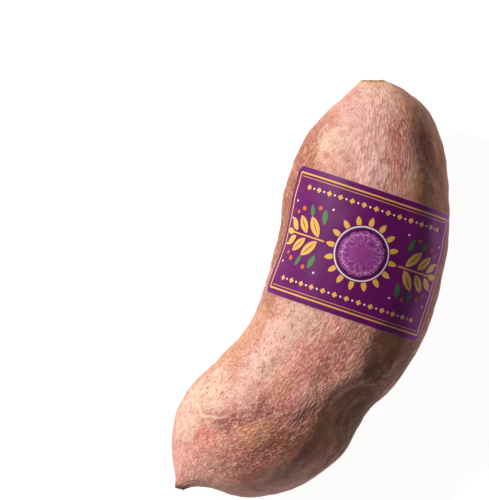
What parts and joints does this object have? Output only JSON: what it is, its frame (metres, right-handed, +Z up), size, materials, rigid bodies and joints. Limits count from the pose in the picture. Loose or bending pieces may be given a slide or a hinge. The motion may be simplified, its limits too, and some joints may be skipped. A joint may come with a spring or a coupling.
{
  "type": "purple sweet potato",
  "caption": "Whole purple sweet potato root lying on its side, thicker toward the stem end, with a waist, a broken tail and a printed paper label stuck round it.",
  "frame": {"origin": "middle of the bounding box seen from above, on the surface the root rests on", "axes": "+X from the tail to the stem end, +Y toward the hollow side of the bend, +Z up"},
  "size_m": [0.1922, 0.0809, 0.0674],
  "materials": {
    "skin": "satin",
    "label_paper": "gloss"
  },
  "bodies": {
    "root": {"tuber": "skin", "label": "label_paper"}
  },
  "joints": []
}
